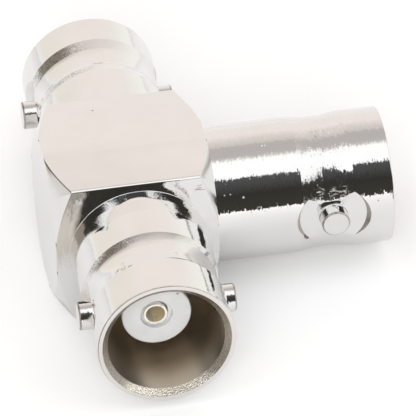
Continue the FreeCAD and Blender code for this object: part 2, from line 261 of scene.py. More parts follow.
def settle(piece):
    """Puts a piece's place and turn into its mesh, so that its object sits at the origin."""
    select_only(piece)
    bpy.ops.object.transform_apply(location=True, rotation=True, scale=True)


def work_in(mode):
    bpy.ops.object.mode_set(mode=mode)


def select_where(piece, kind, test):
    """Opens a piece in edit mode with just those points, edges or faces selected that pass a test."""
    select_only(piece)
    work_in("EDIT")
    bpy.ops.mesh.select_mode(type=kind)
    bpy.ops.mesh.select_all(action="DESELECT")
    work_in("OBJECT")
    mesh = piece.data
    for item in {"VERT": mesh.vertices, "EDGE": mesh.edges, "FACE": mesh.polygons}[kind]:
        item.select = test(item)
    work_in("EDIT")


def weld(piece):
    """Merges the points that lie on one another, so that no sliver or loose edge is left."""
    select_only(piece)
    work_in("EDIT")
    bpy.ops.mesh.select_all(action="SELECT")
    bpy.ops.mesh.remove_doubles(threshold=WELD)
    bpy.ops.mesh.select_all(action="SELECT")
    bpy.ops.mesh.delete_loose()
    work_in("OBJECT")


def finish_piece(piece, node):
    """Shades a finished piece, and lets it ride on the body and stand for its node."""
    settle(piece)
    weld(piece)
    bpy.ops.object.shade_smooth_by_angle(angle=SMOOTH_ANGLE)
    piece.name = node + "_made"
    piece.data.name = piece.name
    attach(piece, "root")
    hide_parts(node)


def softened(outline):
    """The corners of an outline of (along, radius, round), with an arc at each rounded corner and
    a support point on either side of it, so that a long face beside it is shaded straight."""
    points = []
    for index, corner in enumerate(outline):
        here = Vector(corner[:2])
        if len(corner) == 2:
            points.append(here)
            continue
        rounding = corner[2]
        before = Vector(outline[index - 1][:2]) - here
        after = Vector(outline[(index + 1) % len(outline)][:2]) - here
        half = before.angle(after) / 2
        reach = rounding / math.tan(half)
        support = 2 * reach
        inward = (before.normalized() + after.normalized()).normalized()
        centre = here + inward * (rounding / math.sin(half))
        start = here + before.normalized() * reach - centre
        sweep = math.pi - 2 * half
        turn = 1 if before.x * after.y - before.y * after.x < 0 else -1
        steps = max(FEWEST_STEPS, math.ceil(sweep / ARC_STEP))
        if before.length > 2 * support:
            points.append(here + before.normalized() * support)
        for step in range(steps + 1):
            points.append(centre + Matrix.Rotation(turn * sweep * step / steps, 2) @ start)
        if after.length > 2 * support:
            points.append(here + after.normalized() * support)
    return points


def hollowed(start, finish, depth):
    """Points of a shallow hollow between two (along, radius) points, sunk by depth at its middle."""
    points = []
    for step in range(1, HOLLOW_STEPS):
        share = step / HOLLOW_STEPS
        point = Vector(start).lerp(Vector(finish), share)
        point.y -= 4 * depth * share * (1 - share)
        points.append(tuple(point))
    return points


def turned(name, outline, steps=FINE_STEPS):
    """Turns a closed outline about the line along X through the crossing: one point, drawn out
    corner by corner and spun."""
    deselect_all()
    points = softened(outline)
    bpy.ops.mesh.primitive_plane_add(size=MM, location=(points[0].x, 0, CROSSING.z + points[0].y))
    piece = bpy.context.object
    piece.name = name
    settle(piece)
    work_in("EDIT")
    bpy.ops.mesh.select_mode(type="VERT")
    bpy.ops.mesh.select_all(action="SELECT")
    bpy.ops.mesh.merge(type="CENTER")
    for start, finish in zip(points, points[1:] + points[:1]):
        move = finish - start
        bpy.ops.mesh.extrude_region_move(TRANSFORM_OT_translate={"value": (move.x, 0, move.y)})
    bpy.ops.mesh.select_all(action="SELECT")
    bpy.ops.mesh.spin(steps=steps, angle=math.tau, center=CROSSING, axis=(1, 0, 0))
    bpy.ops.mesh.select_all(action="SELECT")
    bpy.ops.mesh.remove_doubles(threshold=WELD)
    bpy.ops.mesh.normals_make_consistent(inside=False)
    work_in("OBJECT")
    return piece


def placed(piece, degrees, move=(0, 0, 0)):
    """Turns a piece about +Z and then moves it."""
    piece.rotation_euler = (0, 0, math.radians(degrees))
    piece.location = move
    settle(piece)
    return piece


def lean_front(piece, start, move):
    """Moves what lies further forward than start, since the front jack's core sits off centre."""
    select_where(piece, "VERT", lambda point: point.co.y < -start - WELD)
    bpy.ops.transform.translate(value=move)
    work_in("OBJECT")


def copied(piece, name):
    select_only(piece)
    bpy.ops.object.duplicate(linked=False)
    bpy.context.object.name = name
    return bpy.context.object


def combine(piece, tool, operation):
    """Cuts, joins or intersects a piece with a tool, which is used up."""
    select_only(piece)
    bpy.ops.object.modifier_add(type="BOOLEAN")
    modifier = piece.modifiers[-1]
    modifier.operation = operation
    modifier.solver = "EXACT"
    modifier.object = tool
    bpy.ops.object.modifier_apply(modifier=modifier.name)
    bpy.data.objects.remove(tool)
    weld(piece)


# Outlines that the three jacks share

def shell_outside(sizes, reach, waist, stepped=True):
    """From the taper behind the waist to the mouth's outer edge, as (along, radius) corners."""
    near, deep, far = [reach - distance * MM for distance in waist]
    deep_corner = (deep, SHELL_RADIUS - sizes.shoulder_drop)
    near_corner = (near - sizes.waist_near_cone, SHELL_RADIUS - sizes.waist_near_drop)
    step = (deep + sizes.tool_step_place, deep_corner[1] - sizes.tool_step)
    steps = [step, (step[0] + sizes.tool_step, deep_corner[1])] if stepped else []
    return [
        (far - sizes.taper, SHELL_RADIUS, sizes.waist_round),
        (far, SHELL_RADIUS - sizes.taper_drop, sizes.waist_round),
        deep_corner,
        *steps,
        *hollowed((step[0] + 2 * sizes.tool_step, deep_corner[1]), near_corner, sizes.waist_sag),
        (*near_corner, sizes.waist_round), (near, SHELL_RADIUS, sizes.waist_round),
        (reach, SHELL_RADIUS, sizes.mouth_round),
    ]


def shell_inside(sizes, reach):
    """From the rim's inner edge over the lead-in to the bottom of the hollow."""
    rim_inside = SHELL_RADIUS - sizes.rim
    return [
        (reach, rim_inside, sizes.rim_round),
        (reach - sizes.lead_in, BORE_RADIUS, sizes.rim_round),
        (reach - sizes.bore_depth, BORE_RADIUS),
    ]


def cut_lug_seats(piece, sizes, lug_sizes, reach):
    """A spot face and a hole for a lug on both sides of a jack that points along +X."""
    floor = SHELL_RADIUS - sizes.spot_depth
    outer = SHELL_RADIUS + CUTTER_MARGIN
    flare = (sizes.spot_rim - sizes.spot_floor) * (outer - floor) / sizes.spot_depth
    hole = lug_sizes.shank + SEAT_GAP
    outline = [
        (BORE_RADIUS - CUTTER_MARGIN, 0), (BORE_RADIUS - CUTTER_MARGIN, hole), (floor, hole),
        (floor, sizes.spot_floor), (outer, sizes.spot_floor + flare), (outer, 0),
    ]
    for degrees in (90, -90):
        cutter = turned("lug_seat_cutter", outline)
        placed(cutter, degrees, (reach - LUG_SETBACK, 0, 0))
        combine(piece, cutter, "DIFFERENCE")


class TEE_OT_body(bpy.types.Operator):
    """Make the square bar with its turned ends and the stem jack's shell, one piece of metal"""
    bl_idname = "tee.body"
    bl_label = "Bar and stem shell"

    def execute(self, context):
        bar = context.scene.tee_bar
        shell = context.scene.tee_shell
        flange_hole = FLANGE_RADIUS + SEAT_GAP
        spigot = shell.spigot + SEAT_GAP
        left, right = BODY_LOW.x, bar.right_end
        deselect_all()
        bpy.ops.mesh.primitive_cube_add(size=1, scale=(right - left, 2 * FLAT, 2 * FLAT / bar.bevel_drop))
        piece = context.object
        settle(piece)
        self.bevel_long_edges(piece, bar.bevel)
        self.bevel_long_edges(piece, bar.bevel_break)
        piece.scale = (1, 1, bar.bevel_drop)
        piece.location = ((left + right) / 2, 0, CROSSING.z)
        settle(piece)
        past_corner = FLAT * 1.5
        ramp = (past_corner - bar.end_disc) / bar.end_slope
        ends = turned("turned_ends", [
            (left, 0), (left, bar.end_disc), (left + ramp, past_corner),
            (right - ramp, past_corner), (right, bar.end_disc), (right, 0),
        ])
        combine(piece, ends, "INTERSECT")
        self.break_turned_edges(piece, bar.edge_break)
        blind = right + bar.core_wall
        core = CORE_RADIUS + SEAT_GAP
        stem = turned("stem_barrel", [
            (right / 2, 0), (right / 2, SHELL_RADIUS),
            *shell_outside(shell, STEM_REACH, WAISTS["stem"], False),
            *shell_inside(shell, STEM_REACH), (STEM_REACH - shell.bore_depth, core),
            (blind, core), (blind, 0),
        ])
        combine(piece, stem, "UNION")
        core_cutter = turned("core_cutter", [
            (0, 0), (0, bar.passage), (STEM_SEAT, bar.passage), (STEM_SEAT, core),
            (blind + CUTTER_MARGIN / 2, core), (blind + CUTTER_MARGIN / 2, 0),
        ])
        combine(piece, core_cutter, "DIFFERENCE")
        outer = FLAT + CUTTER_MARGIN
        cross = turned("cross_cutter", [
            (-outer, 0), (-outer, spigot), (-SPIGOT_END, spigot), (-SPIGOT_END, flange_hole),
            (SPIGOT_END, flange_hole), (SPIGOT_END, spigot), (outer, spigot), (outer, 0),
        ])
        placed(cross, 90)
        combine(piece, cross, "DIFFERENCE")
        cut_lug_seats(piece, shell, context.scene.tee_lug, STEM_REACH)
        finish_piece(piece, "tee_body")
        dress_body(piece, context.scene)
        return {"FINISHED"}

    def bevel_long_edges(self, piece, size):
        def lengthwise(edge):
            start, finish = [piece.data.vertices[index].co for index in edge.vertices]
            return abs((finish - start).normalized().x) > LENGTHWISE

        select_where(piece, "EDGE", lengthwise)
        bpy.ops.mesh.bevel(offset=size, offset_type="OFFSET", segments=1, affect="EDGES")
        work_in("OBJECT")

    def break_turned_edges(self, piece, size):
        """Breaks the curved edges where the flats and bevels meet the turned ends, and presses what
        that pushed past the bar's left end back onto it."""
        def edges_of(low, high):
            return {key for face in piece.data.polygons if low < abs(face.normal.x) < high
                    for key in face.edge_keys}

        shared = edges_of(TURNED_TILT, 1 - TURNED_TILT) & edges_of(-1, TURNED_TILT)
        select_where(piece, "EDGE", lambda edge: edge.key in shared)
        bpy.ops.mesh.bevel(offset=size, offset_type="OFFSET", segments=2, affect="EDGES")
        work_in("OBJECT")
        select_where(piece, "VERT", lambda point: point.co.x < BODY_LOW.x)
        bpy.ops.transform.resize(value=(0, 1, 1), center_override=(BODY_LOW.x, 0, 0))
        work_in("OBJECT")


class TEE_OT_jack_shells(bpy.types.Operator):
    """Make the two turned shells that are pressed into the front flat and the rear flat"""
    bl_idname = "tee.jack_shells"
    bl_label = "Pressed-in shells"

    def execute(self, context):
        sizes = context.scene.tee_shell
        web_end = THROUGH_REACH - sizes.bore_depth - sizes.web
        nose = context.scene.tee_insulator.nose + SEAT_GAP
        for side, turn in (("front", -90), ("rear", 90)):
            piece = turned(side + "_shell", [
                (SPIGOT_END, FLANGE_RADIUS + SEAT_GAP), (SPIGOT_END, sizes.spigot),
                (FLAT, sizes.spigot), (FLAT, FOOT_RADIUS),
                (FLAT + sizes.foot_height, FOOT_RADIUS, sizes.foot_round),
                (FLAT + sizes.foot_height, SHELL_RADIUS + sizes.foot_spread),
                (FLAT + sizes.foot_straight, SHELL_RADIUS + sizes.foot_spread, sizes.foot_blend),
                (FLAT + sizes.foot_finish, SHELL_RADIUS + sizes.foot_end_spread, sizes.foot_blend),
                *shell_outside(sizes, THROUGH_REACH, WAISTS[side]),
                *shell_inside(sizes, THROUGH_REACH), (THROUGH_REACH - sizes.bore_depth, nose),
                (web_end, nose), (web_end, FLANGE_RADIUS + SEAT_GAP),
            ])
            cut_lug_seats(piece, sizes, context.scene.tee_lug, THROUGH_REACH)
            placed(piece, turn)
            finish_piece(piece, side + "_jack_shell")
            dress_shell(piece, context.scene, side)
        return {"FINISHED"}


class TEE_OT_lugs(bpy.types.Operator):
    """Make the six bayonet lugs: one turned pin and its copies"""
    bl_idname = "tee.lugs"
    bl_label = "Bayonet lugs"

    def execute(self, context):
        sizes = context.scene.tee_lug
        floor = SHELL_RADIUS - context.scene.tee_shell.spot_depth
        fillet = sizes.foot_fillet
        turns = [QUARTER * step / FILLET_STEPS for step in range(FILLET_STEPS + 1)]
        foot = [(floor + fillet - fillet * math.cos(turn), sizes.radius + fillet - fillet * math.sin(turn))
                for turn in turns]
        pin = turned("lug", [
            (BORE_RADIUS, 0), (BORE_RADIUS, sizes.shank), (floor, sizes.shank), *foot,
            (LUG_TIP - sizes.tip_chamfer, sizes.radius, LUG_TIP_ROUND),
            (LUG_TIP, sizes.radius - sizes.tip_chamfer, LUG_TIP_ROUND), (LUG_TIP, 0),
        ], SMALL_STEPS)
        through = THROUGH_REACH - LUG_SETBACK
        stem = STEM_REACH - LUG_SETBACK
        places = {
            "front_jack_left_lug": (180, (0, -through, 0)),
            "front_jack_right_lug": (0, (0, -through, 0)),
            "rear_jack_left_lug": (180, (0, through, 0)),
            "rear_jack_right_lug": (0, (0, through, 0)),
            "stem_front_lug": (-90, (stem, 0, 0)),
            "stem_rear_lug": (90, (stem, 0, 0)),
        }
        for node, (degrees, move) in places.items():
            lug = placed(copied(pin, node + "_pin"), degrees, move)
            finish_piece(lug, node)
            dress_lug(lug, sizes, math.radians(degrees), "y" if node.startswith("stem") else "x")
        bpy.data.objects.remove(pin)
        return {"FINISHED"}


def nose_outline(sizes, reach, root):
    """The nose of an insulator, from where it leaves its thicker part to the contact's hole."""
    face = reach - NOSE_SETBACK
    return [
        (root, sizes.nose), (face, sizes.nose, sizes.nose_round),
        (face, sizes.hole, sizes.hole_round), (face - sizes.hole_depth, sizes.hole),
        (face - sizes.hole_depth, sizes.lip_radius),
        (face - sizes.hole_depth - sizes.lip, sizes.lip_radius),
        (face - sizes.hole_depth - sizes.lip, sizes.neck),
    ]


class TEE_OT_insulators(bpy.types.Operator):
    """Make the white insulators of the three jacks"""
    bl_idname = "tee.insulators"
    bl_label = "Insulators"

    def execute(self, context):
        sizes = context.scene.tee_insulator
        shell = context.scene.tee_shell
        web_end = THROUGH_REACH - shell.bore_depth - shell.web
        front = turned("insulator", [
            (sizes.collar_half, sizes.neck), (sizes.collar_half, FLANGE_RADIUS),
            (web_end, FLANGE_RADIUS), *nose_outline(sizes, THROUGH_REACH, web_end),
        ])
        rear = copied(front, "rear_core")
        root = STEM_REACH - shell.bore_depth
        stem = turned("stem_core", [
            (STEM_SEAT, sizes.neck), (STEM_SEAT, CORE_RADIUS), (root, CORE_RADIUS),
            *nose_outline(sizes, STEM_REACH, root),
        ])
        for piece, node, degrees in ((front, "front_insulator", -90), (rear, "rear_insulator", 90),
                                     (stem, "stem_insulator", 0)):
            placed(piece, degrees)
            if node == "front_insulator":
                lean_front(piece, web_end, CORE_LEAN)
            finish_piece(piece, node)
            piece.data.materials.append(bpy.data.materials["insulator"])
        return {"FINISHED"}


def socket_outline(sizes, hole_depth, end):
    """A contact's slotted end and its hole, from the contact's full thickness to the axis."""
    neck = end + sizes.tip_setback - hole_depth - sizes.taper - SEAT_GAP
    bottom = end - sizes.socket_depth
    return [
        (neck, sizes.radius), (neck + sizes.taper, sizes.tip),
        (end, sizes.tip, CONTACT_TIP_ROUND), (end, SOCKET_RADIUS, CONTACT_TIP_ROUND),
        (bottom, SOCKET_RADIUS), (bottom - sizes.socket_cone, 0),
    ]


def cut_slot(piece, sizes, end):
    """A slot across the end of a contact that points along +X, turned about it."""
    deselect_all()
    start, finish = end - sizes.slot_length, end + CUTTER_MARGIN
    bpy.ops.mesh.primitive_cube_add(size=1, location=((start + finish) / 2, 0, CROSSING.z),
                                    rotation=(sizes.slot_turn, 0, 0),
                                    scale=(finish - start, sizes.slot_depth, sizes.slot_width))
    cutter = bpy.context.object
    settle(cutter)
    combine(piece, cutter, "DIFFERENCE")


class TEE_OT_contacts(bpy.types.Operator):
    """Make the centre contact that runs from the front jack to the rear one, and the stem's"""
    bl_idname = "tee.contacts"
    bl_label = "Centre contacts"

    def execute(self, context):
        sizes = context.scene.tee_contact
        insulator = context.scene.tee_insulator
        hole_depth = insulator.hole_depth + insulator.lip
        end = CONTACT_HIGH.y
        half = turned("half_contact", [
            (0, 0), (0, COLLAR_RADIUS), (sizes.collar / 2, COLLAR_RADIUS),
            (sizes.collar / 2, sizes.radius), *socket_outline(sizes, hole_depth, end),
        ], SMALL_STEPS)
        cut_slot(half, sizes, end)
        through = self.doubled(half)
        tail_hole = turned("tail_hole_cutter", [
            (-COLLAR_RADIUS - CUTTER_MARGIN, 0),
            (-COLLAR_RADIUS - CUTTER_MARGIN, sizes.tail + SEAT_GAP),
            (COLLAR_RADIUS + CUTTER_MARGIN, sizes.tail + SEAT_GAP),
            (COLLAR_RADIUS + CUTTER_MARGIN, 0),
        ], SMALL_STEPS)
        placed(through, -90)
        combine(through, tail_hole, "DIFFERENCE")
        stem_end = STEM_CONTACT_HIGH.x
        collar_start = STEM_SEAT - sizes.stem_collar
        stem = turned("stem_pin", [
            (TAIL_END, 0), (TAIL_END, sizes.tail), (collar_start, sizes.tail),
            (collar_start, COLLAR_RADIUS), (STEM_SEAT, COLLAR_RADIUS),
            (STEM_SEAT, sizes.radius), *socket_outline(sizes, hole_depth, stem_end),
        ], SMALL_STEPS)
        cut_slot(stem, sizes, stem_end)
        lean_front(through, sizes.collar, CONTACT_LEAN)
        for piece, node in ((through, "through_contact"), (stem, "stem_contact")):
            finish_piece(piece, node)
            dress_contact(piece, (1, 0, 0) if node.startswith("stem") else (0, 1, 0))
        return {"FINISHED"}

    def doubled(self, half):
        """Joins a half contact with its mirror image across its collar."""
        select_only(half)
        bpy.ops.object.modifier_add(type="MIRROR")
        mirror = half.modifiers[-1]
        mirror.merge_threshold = WELD
        bpy.ops.object.modifier_apply(modifier=mirror.name)
        points = half.data.vertices
        select_where(half, "FACE", lambda face: all(abs(points[corner].co.x) < WELD
                                                    for corner in face.vertices))
        bpy.ops.mesh.delete(type="ONLY_FACE")
        bpy.ops.mesh.select_all(action="SELECT")
        bpy.ops.mesh.normals_make_consistent(inside=False)
        work_in("OBJECT")
        return half


# Shader helpers

def place(tree, kind, inputs=None, **settings):
    """Adds a shader node with its settings, and with each of its inputs set or linked."""
    node = tree.nodes.new("ShaderNode" + kind)
    for name, value in settings.items():
        setattr(node, name, value)
    for key, value in (inputs or {}).items():
        if isinstance(value, bpy.types.NodeSocket):
            tree.links.new(value, node.inputs[key])
        else:
            node.inputs[key].default_value = value
    return node


def link(source, target):
    source.id_data.links.new(source, target)


def tree_of(*values):
    """The node tree of the first socket among some values."""
    return next(value.id_data for value in values if isinstance(value, bpy.types.NodeSocket))


def maths(operation, first, second=0.0):
    return place(tree_of(first, second), "Math", {0: first, 1: second}, operation=operation).outputs[0]


def times(first, second):
    return maths("MULTIPLY", first, second)


def plus(first, second):
    return maths("ADD", first, second)


def minus(first, second):
    return maths("SUBTRACT", first, second)


def distance(value):
    return maths("ABSOLUTE", value)


def vectors(operation, first, second=None, output=0):
    """Vector maths, whose second input is a vector, or a number for SCALE."""
    inputs = {0: first}
    if second is not None:
        inputs["Scale" if operation == "SCALE" else 1] = second
    return place(tree_of(first), "VectorMath", inputs, operation=operation).outputs[output]


def stretched(vector, scale):
    return vectors("MULTIPLY", vector, scale)


def parted(vector):
    return place(tree_of(vector), "SeparateXYZ", {0: vector}).outputs


def ranged(value, low, high, to_low=0.0, to_high=1.0):
    """Maps low to to_low and high to to_high, with a soft start and end."""
    inputs = {"Value": value, "From Min": low, "From Max": high, "To Min": to_low, "To Max": to_high}
    return place(tree_of(value), "MapRange", inputs, interpolation_type="SMOOTHSTEP").outputs[0]


def mixed(share, first, second):
    return place(tree_of(share), "Mix", {0: share, 6: first, 7: second}, data_type="RGBA").outputs[2]


def noise(vector, scale, detail=2, roughness=0.5):
    """Soft noise, scale bumps to a unit, broken up by its detail and roughness."""
    inputs = {"Vector": vector, "Scale": scale, "Detail": detail, "Roughness": roughness}
    return place(tree_of(vector), "TexNoise", inputs).outputs[0]


def patches(vector, pattern):
    """Patches of noise with soft edges. A pattern gives the noise's scale, detail and roughness, and
    the values between which a patch fades in."""
    scale, detail, roughness, fade = pattern
    return ranged(noise(vector, scale, detail, roughness), *fade)


def line_noise(value):
    """Lines across a value that runs in millimetres, as a tool leaves them."""
    inputs = {"W": value, "Scale": 9, "Detail": 3}
    return place(tree_of(value), "TexNoise", inputs, noise_dimensions="1D").outputs[0]


def ramped(value, stops):
    """A colour ramp over (place, red, green and blue) stops."""
    node = place(tree_of(value), "ValToRGB", {0: value})
    elements = node.color_ramp.elements
    elements.remove(elements[1])
    for index, (position, rgb) in enumerate(stops):
        element = elements[0] if index == 0 else elements.new(position)
        element.position = position
        element.color = (*rgb, 1)
    return node.outputs[0]


def make_group(name, inputs, outputs):
    """A new node group, whose sockets are given as names with their starting values."""
    tree = bpy.data.node_groups.new(name, "ShaderNodeTree")
    for way, sockets in (("INPUT", inputs), ("OUTPUT", outputs)):
        for title, default in sockets.items():
            kind = "Float"
            if not isinstance(default, float):
                kind = "Color" if len(default) == 4 else "Vector"
            socket = tree.interface.new_socket(name=title, in_out=way, socket_type="NodeSocket" + kind)
            if way == "INPUT":
                socket.default_value = default
    return tree, tree.nodes.new("NodeGroupInput").outputs, tree.nodes.new("NodeGroupOutput").inputs


def use_group(tree, name, inputs):
    return place(tree, "Group", inputs, node_tree=bpy.data.node_groups[name]).outputs


def seen(red, green, blue):
    """A colour as a screen shows it, from 0 to 255, as light. This is the screen's own curve."""
    return tuple(((part / 255 + 0.055) / 1.055) ** 2.4 for part in (red, green, blue))


def halfway(first, second):
    return [(one + other) / 2 for one, other in zip(first, second)]


# Finishes. Lengths inside them are millimetres, heights are micrometres.

def make_lathe_place():
    """Where a point lies from the crossing, as it is and with a turned piece's axis brought to X, and
    how far along that axis and away from it the point is."""
    tree, given, result = make_group("lathe_place", {"Turn": (0, 0, 0)},
                                     {"Place": (0, 0, 0), "Here": (0, 0, 0), "Along": 0.0, "Radius": 0.0})
    from_crossing = {"Vector": place(tree, "TexCoord").outputs["Object"], "Scale": PER_MM,
                     "Location": (0, 0, -CROSSING.z / MM)}
    turned_place = place(tree, "Mapping", {**from_crossing, "Rotation": given["Turn"]}).outputs[0]
    parts = parted(turned_place)
    link(turned_place, result["Place"])
    link(place(tree, "Mapping", from_crossing).outputs[0], result["Here"])
    link(distance(parts[0]), result["Along"])
    squares = [times(parts[axis], parts[axis]) for axis in (1, 2)]
    link(maths("SQRT", plus(*squares)), result["Radius"])


def make_relief(name, scale, detail):
    """The relief that a lathe and the plating leave: lines across a value, and a fine grain, whose
    noise has this scale and detail."""
    tree, given, result = make_group(name, {"Place": (0, 0, 0), "Across": 0.0, "Lines": 0.0, "Grain": 0.0},
                                     {"Height": 0.0})
    lines = times(line_noise(given["Across"]), given["Lines"])
    grain = times(noise(given["Place"], scale, detail, 0.6), given["Grain"])
    link(plus(lines, grain), result["Height"])


def make_ragged_normal():
    """Tilts the surface to and fro round the axis, as the plating over lathe marks does, so that the
    edge of a reflection breaks up into short strokes."""
    tree, given, result = make_group("ragged_normal",
                                     {"Place": (0, 0, 0), "Turn back": (0, 0, 0), "Tilt": 0.0, "Sway": 0.0},
                                     {"Normal": (0, 0, 0)})
    strokes = noise(stretched(given["Place"], STROKE_SCALE), 1, 2, 0.7)
    swells = noise(given["Place"], 1.2)
    stroke = minus(strokes, 0.5)
    rare = times(times(stroke, distance(stroke)), STROKE_STRENGTH)
    lean = times(rare, given["Tilt"])
    sway = times(minus(swells, 0.5), given["Sway"])
    parts = parted(given["Place"])
    round_axis = place(tree, "CombineXYZ", {0: 0.0, 1: times(parts[2], -1.0), 2: parts[1]})
    round_axis = vectors("NORMALIZE", round_axis.outputs[0])
    round_axis = place(tree, "VectorRotate", {"Vector": round_axis, "Rotation": given["Turn back"]},
                       rotation_type="EULER_XYZ").outputs[0]
    round_axis = place(tree, "VectorTransform", {0: round_axis}, vector_type="VECTOR",
                       convert_from="OBJECT", convert_to="WORLD").outputs[0]
    push = vectors("SCALE", round_axis, plus(lean, sway))
    upright = place(tree, "NewGeometry").outputs["Normal"]
    link(vectors("NORMALIZE", vectors("ADD", upright, push)), result["Normal"])


def make_plate_tone():
    """The plate's colour and gloss, with faint clouds of haze, small pits and a speckle of dirt."""
    tree, given, result = make_group("plate_tone",
                                     {"Place": (0, 0, 0), "Plate": (0, 0, 0, 1), "Haze": (0, 0, 0, 1),
                                      "Gloss": 0.0, "Dull": 0.0, "Pits": 0.0, "Speckle": 0.0},
                                     {"Colour": (0, 0, 0, 1), "Roughness": 0.0})
    clouds = patches(given["Place"], HAZE_CLOUDS)
    pits = times(patches(given["Place"], PITS), given["Pits"])
    grains = times(patches(given["Place"], SPECKLE), given["Speckle"])
    tone = mixed(clouds, given["Plate"], given["Haze"])
    for share in (grains, pits):
        tone = mixed(share, tone, (*GRIME, 1))
    link(tone, result["Colour"])
    dulled = times(clouds, minus(given["Dull"], given["Gloss"]))
    link(plus(given["Gloss"], dulled), result["Roughness"])


def make_spot_mark():
    """A soft round mark about a point. Broken goes from a plain spot to one broken into strokes."""
    tree, given, result = make_group("spot_mark",
                                     {"Here": (0, 0, 0), "Centre": (0, 0, 0), "Radius": 0.1, "Broken": 0.0},
                                     {"Mask": 0.0})
    away = vectors("DISTANCE", given["Here"], given["Centre"], "Value")
    share = maths("DIVIDE", away, given["Radius"])
    gaps = minus(1.0, patches(stretched(given["Here"], MARK_STROKE_SCALE), MARK_STROKES))
    kept = minus(1.0, times(gaps, given["Broken"]))
    link(times(ranged(share, *MARK_EDGE), kept), result["Mask"])


def new_material(name, **settings):
    """A new material, its tree and its shader's inputs, some of which are set here."""
    material = bpy.data.materials.new(name)
    material.use_nodes = True
    shader = material.node_tree.nodes["Principled BSDF"].inputs
    for title, value in settings.items():
        shader[title.replace("_", " ")].default_value = value
    return material.node_tree, shader


def add_marks(name, here, colour, roughness):
    """Lays a material's small marks over its colour, and makes the plate duller there."""
    tree = tree_of(here)
    for centre, radius, shade, dulling, broken in MARKS.get(name, ()):
        mask = use_group(tree, "spot_mark", {"Here": here, "Centre": centre, "Radius": radius,
                                             "Broken": broken})["Mask"]
        colour = mixed(mask, colour, (*shade, 1))
        roughness = plus(roughness, times(mask, dulling))
    return colour, roughness


def make_metal(name, turn, plate, haze, gloss, dull, tilt=0.0, sway=0.0, lines=0.0, grain=0.0,
               pits=0.0, speckle=0.0, left_speckle=0.0, rings=False, drawn_out=0.0, brown_and_shade=None,
               painted_hollow_shade=None, edge_line=None, metallic=1.0):
    """A plated metal. Turn is the turn that brings the piece's axis to X. Gloss is its roughness where
    it is clean, and dull where it is hazy. Tilt and sway break up its reflections, lines and grain are
    heights of its relief, and pits and speckle are shares of dirt. Rings says that its tool lines run
    round the end of a turned piece. Drawn out says how far fine tool marks round the axis
    blur what it reflects along the axis. Brown and shade is the colour that the plate reaches inside a
    jack, brown plate whose darkening with depth is painted shade, and how far the jack's mouth lies
    from the crossing. Painted hollow shade is painted light: how much of its colour the plate keeps on
    the sides and at the bottom of a hollow, the sides painted darker and the bottom brighter, and how
    wide that bottom is. Edge line is how far along the front jack a worn line runs. Left speckle is
    found only on a piece's upper left."""
    tree, shader = new_material(name, Metallic=metallic)
    lathe = use_group(tree, "lathe_place", {"Turn": (0, 0, turn)})
    here = parted(lathe["Here"])
    if left_speckle:
        upper_left = times(ranged(here[0], *TO_LEFT), ranged(here[2], *TO_TOP))
        speckle = times(upper_left, left_speckle)
    tone = use_group(tree, "plate_tone", {"Place": lathe["Place"], "Plate": (*plate, 1), "Haze": (*haze, 1),
                                          "Gloss": gloss, "Dull": dull, "Pits": pits, "Speckle": speckle})
    across = lathe["Radius"] if rings else parted(lathe["Place"])[0]
    relief = use_group(tree, "ring_relief" if rings else "turned_relief",
                       {"Place": lathe["Place"], "Across": across, "Lines": lines, "Grain": grain})
    ragged = use_group(tree, "ragged_normal", {"Place": lathe["Place"], "Turn back": (0, 0, -turn),
                                               "Tilt": tilt, "Sway": sway})
    bump = place(tree, "Bump", {"Height": relief["Height"], "Distance": MICROMETRE,
                                "Normal": ragged["Normal"]})
    colour = tone["Colour"]
    # Brown plate deeper in the bore, whose darkening with depth behind the mouth is painted shade
    if brown_and_shade:
        deep_colour, reach = brown_and_shade
        depth = minus(reach / MM, lathe["Along"])
        colour = mixed(ranged(depth, *BROWN_AND_SHADE_DEPTH), colour, (*deep_colour, 1))
    # Painted light: the colour is scaled up at the bottom of a hollow near its middle and down on its sides
    if painted_hollow_shade:
        sides, bottom, bright_half, dark_half = painted_hollow_shade
        off_middle = distance(minus(here[0], HOLLOW_MIDDLE))
        in_middle = ranged(off_middle, dark_half, bright_half)
        lit = times(ranged(here[2], *HOLLOW_BOTTOM), in_middle)
        kept = ranged(lit, 0, 1, sides, bottom)
        colour = vectors("SCALE", colour, kept)
    if edge_line:
        away = distance(plus(here[1], edge_line))
        line = times(ranged(away, *EDGE_LINE_WIDTH), ranged(here[0], *EDGE_LINE_START))
        line = times(line, patches(lathe["Here"], EDGE_LINE_STROKES))
        colour = mixed(line, colour, (*DIRT_AND_SHADE, 1))
    colour, roughness = add_marks(name, lathe["Here"], colour, tone["Roughness"])
    link(colour, shader["Base Color"])
    link(roughness, shader["Roughness"])
    link(bump.outputs[0], shader["Normal"])
    if drawn_out:
        round_axis = place(tree, "Tangent", direction_type="RADIAL", axis="Y" if turn else "X").outputs[0]
        link(round_axis, shader["Tangent"])
        shader["Anisotropic"].default_value = drawn_out
        shader["Anisotropic Rotation"].default_value = ROUND_AXIS


# Places in the finishes, in millimetres from the crossing. Each pair runs from where an effect starts
# to where it is full. A jack's bore turns brown and darker with its depth behind the mouth, the
# darkening being painted shade, and the painted bright bottom of its hollow lies a little to the right
# of its axis.

BROWN_AND_SHADE_DEPTH = (0.3, 2.6)
HOLLOW_BOTTOM = (-2.4, -3.9)
HOLLOW_MIDDLE = 0.5
TO_LEFT = (0.5, -2.5)
TO_TOP = (1.2, 3)
EDGE_LINE_WIDTH = (0.09, 0.03)
EDGE_LINE_START = (0.4, 1.4)

# Patterns of noise in millimetres, as patches takes them, and the grain of each relief

